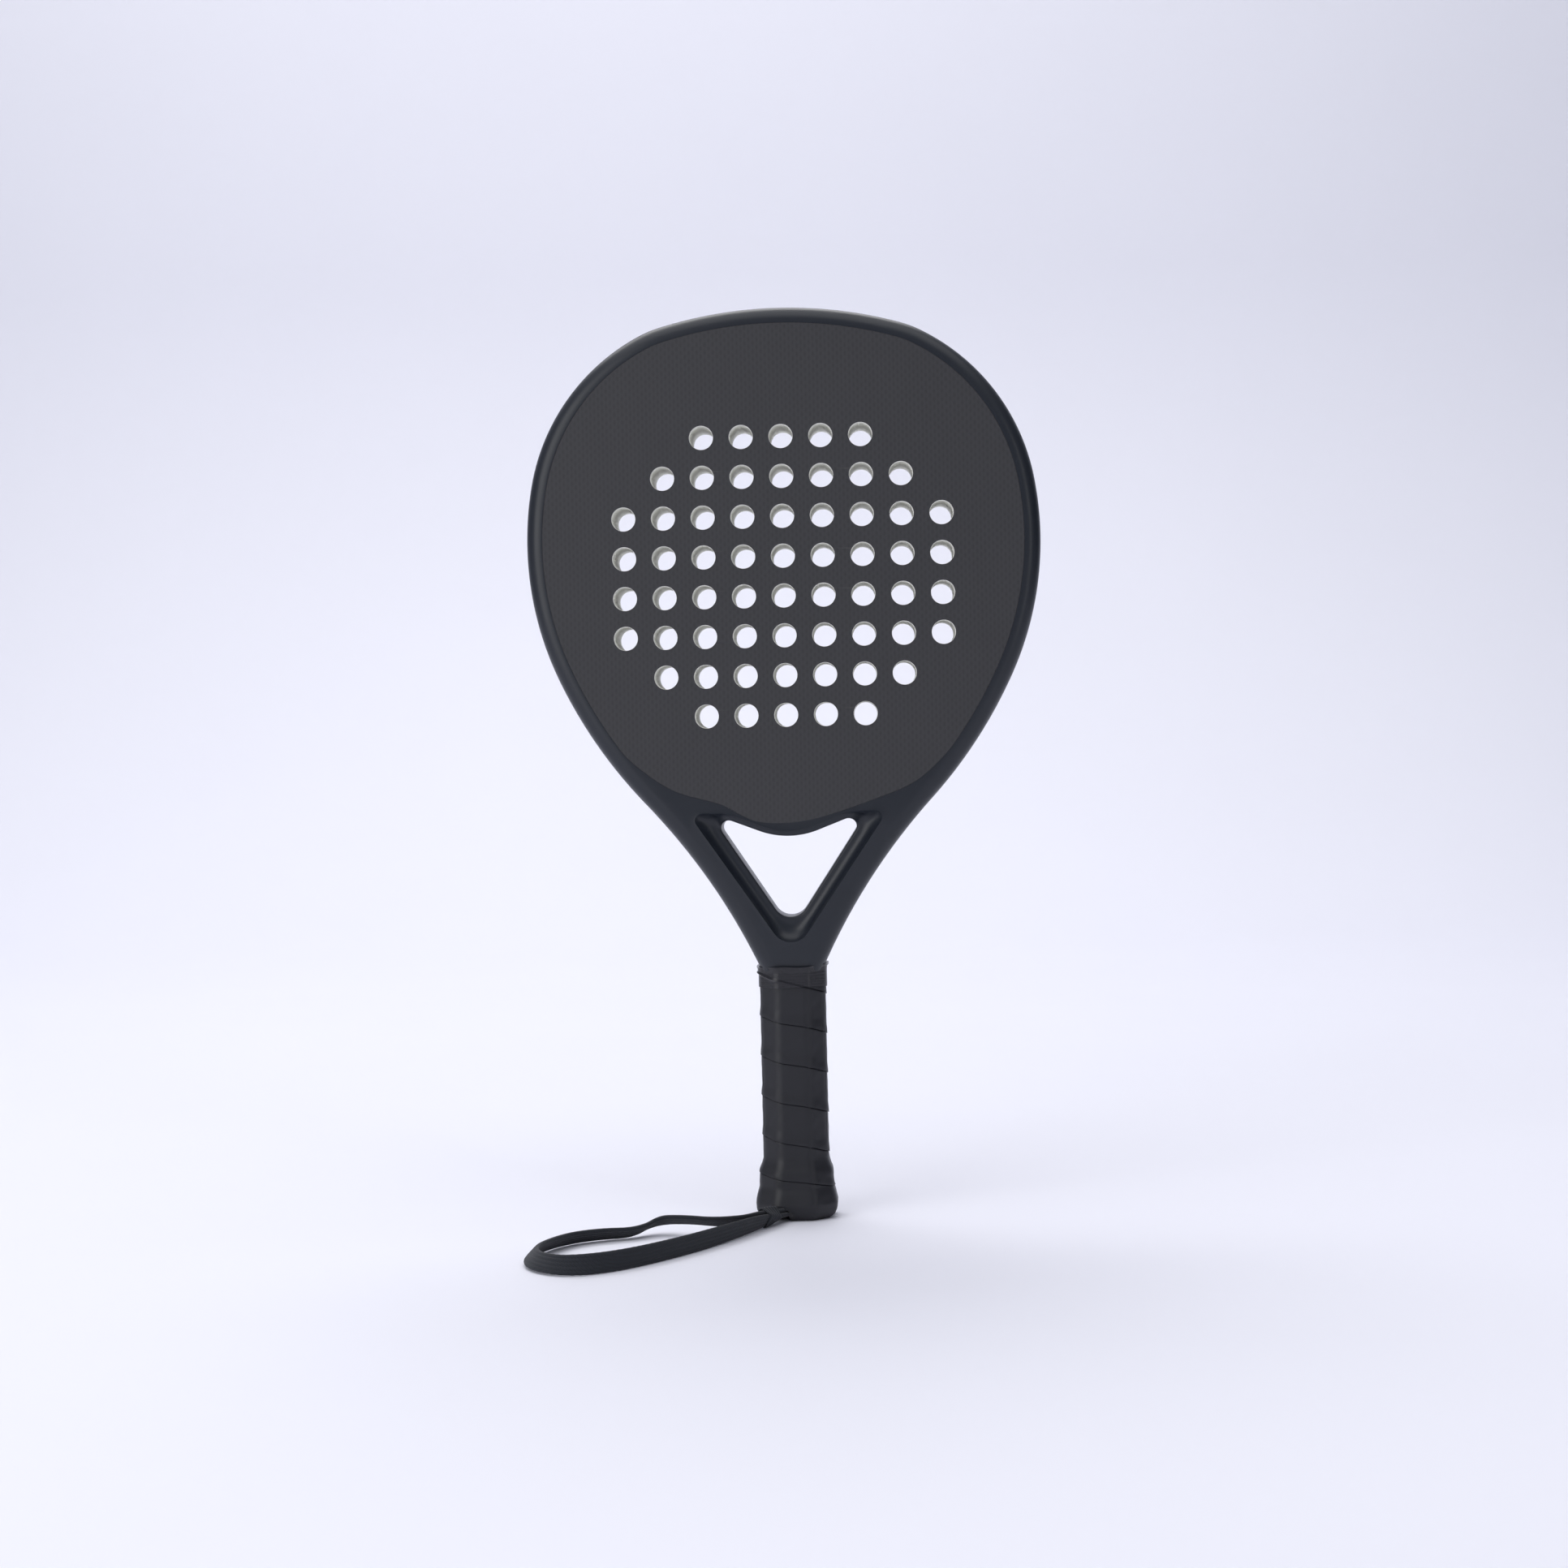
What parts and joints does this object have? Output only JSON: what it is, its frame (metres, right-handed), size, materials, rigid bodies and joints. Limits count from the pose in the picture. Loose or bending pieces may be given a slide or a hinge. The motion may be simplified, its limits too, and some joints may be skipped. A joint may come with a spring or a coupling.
{
  "type": "padel racket",
  "caption": "Teardrop perforated bat with a foam core between woven faces, an open throat, a wrapped grip and a looped wrist strap.",
  "frame": {"origin": "middle of the butt's underside, on the surface that the racket stands on", "axes": "+X across the width, +Z from the butt up the handle to the crown, the front face looks towards -Y"},
  "size_m": [0.2558, 0.1591, 0.455],
  "materials": {
    "frame_lacquer": "satin lacquer over moulded fibre laminate",
    "white_foam": "expanded filler foam",
    "face_weave": "matt woven-fibre laminate with a fine stippled weave",
    "backing_ply": "pale glass-fibre ply, cured plain",
    "core_foam": "pale closed-cell EVA foam",
    "shell_foam": "rigid polyurethane foam",
    "cap_plastic": "moulded black plastic",
    "steel_wire": "bright drawn wire",
    "cushion_grip": "cushioned synthetic leather strip",
    "grip_strip": "smooth synthetic leather strip with a soft sheen",
    "glossy_tape": "stretched glossy vinyl tape",
    "strap_braid": "flat ribbed polyester braid"
  },
  "bodies": {
    "racket": {"frame_tube": "frame_lacquer", "throat_bridge": "frame_lacquer", "frame_foam": "white_foam", "bridge_foam": "white_foam", "handle_filler": "white_foam", "front_face_skin": "face_weave", "rear_face_skin": "face_weave", "front_backing_ply": "backing_ply", "rear_backing_ply": "backing_ply", "eva_core": "core_foam", "handle_shell_front": "shell_foam", "handle_shell_rear": "shell_foam", "butt_cap": "cap_plastic", "butt_cap_staples": "steel_wire", "grip_tack": "steel_wire", "base_grip": "cushion_grip", "over_grip": "grip_strip", "finishing_tape": "glossy_tape", "strap_knot": "strap_braid", "wrist_strap": "strap_braid"},
    "keeper": {"strap_keeper": "strap_braid"}
  },
  "joints": [
    {"name": "keeper_slide", "type": "slide", "parent": "racket", "child": "keeper", "axis": [-0.4195, -0.9078, 0], "range_m": [-0.004, 0.004]}
  ]
}
